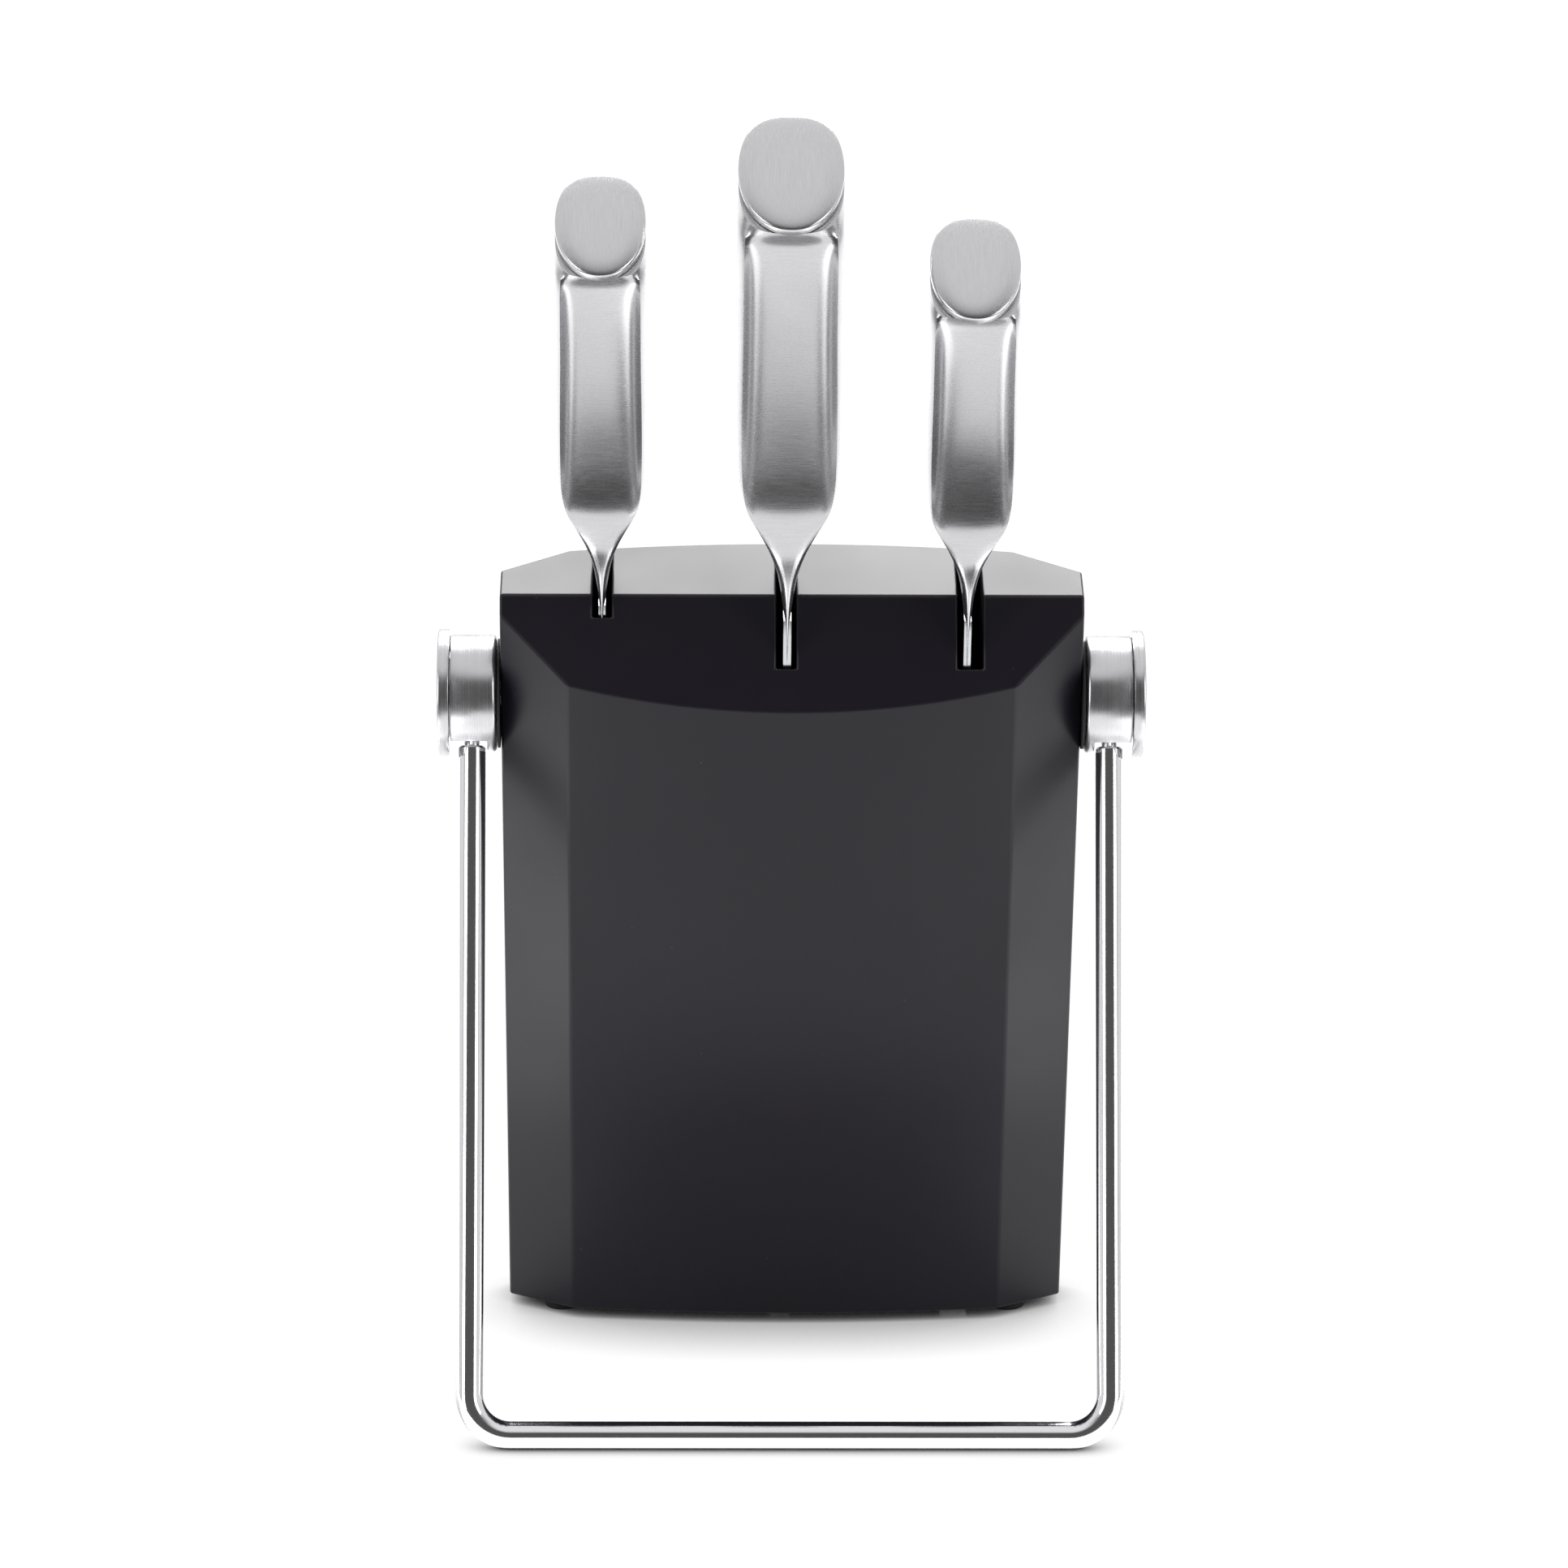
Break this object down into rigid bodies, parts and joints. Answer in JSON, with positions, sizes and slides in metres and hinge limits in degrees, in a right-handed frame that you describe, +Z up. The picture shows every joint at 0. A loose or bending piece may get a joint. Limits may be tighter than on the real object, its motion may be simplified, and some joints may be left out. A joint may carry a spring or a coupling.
{
  "type": "knife block with knives",
  "caption": "Leaning faceted knife block on a folding bent-rod stand, with steel-handled kitchen knives in its slots.",
  "frame": {"origin": "on the table, in the middle of the object's outline seen from above", "axes": "+Z up, and the cook stands on the -Y side, with +X to the cook's right"},
  "size_m": [0.1802, 0.1392, 0.3349],
  "materials": {
    "block_lacquer": "black satin lacquer",
    "polished_rod": "polished",
    "brushed_barrel": "turned and brushed round the barrel",
    "brushed_handle": "fine brushed along the handle",
    "blade_steel": "satin ground",
    "plain_steel": "machined",
    "rubber": "matt",
    "nylon": "natural",
    "brass": "machined"
  },
  "bodies": {
    "block": {"block_body": "block_lacquer", "foot_front_left": "rubber", "foot_front_right": "rubber", "foot_rear_left": "rubber", "foot_rear_right": "rubber", "threaded_insert_left": "brass", "threaded_insert_right": "brass", "seat_washer_left": "rubber", "seat_washer_right": "rubber", "pivot_housing_left": "brushed_barrel", "pivot_housing_right": "brushed_barrel", "stop_pin_left": "plain_steel", "stop_pin_right": "plain_steel", "pivot_bolt_left": "plain_steel", "pivot_bolt_right": "plain_steel", "pivot_cap_left": "brushed_barrel", "pivot_cap_right": "brushed_barrel"},
    "stand": {"stand_rod": "polished_rod", "pivot_hub_left": "plain_steel", "pivot_hub_right": "plain_steel", "pivot_bush_left": "nylon", "pivot_bush_right": "nylon"},
    "utility_knife": {"utility_blade": "blade_steel", "utility_handle_shell": "brushed_handle", "utility_butt_cap": "brushed_handle"},
    "cooks_knife": {"cooks_blade": "blade_steel", "cooks_handle_shell": "brushed_handle", "cooks_butt_cap": "brushed_handle"},
    "paring_knife": {"paring_blade": "blade_steel", "paring_handle_shell": "brushed_handle", "paring_butt_cap": "brushed_handle"}
  },
  "joints": [
    {"name": "stand_fold", "type": "hinge", "parent": "block", "child": "stand", "pos_m": [0, -0.00146, 0.1811], "axis": [1, 0, 0], "range_deg": [0, 32]},
    {"name": "utility_draw", "type": "slide", "parent": "block", "child": "utility_knife", "axis": [0, -0.2588, 0.9659], "range_m": [0, 0.155]},
    {"name": "cooks_draw", "type": "slide", "parent": "block", "child": "cooks_knife", "axis": [0, -0.2588, 0.9659], "range_m": [0, 0.22]},
    {"name": "paring_draw", "type": "slide", "parent": "block", "child": "paring_knife", "axis": [0, -0.2588, 0.9659], "range_m": [0, 0.115]}
  ]
}
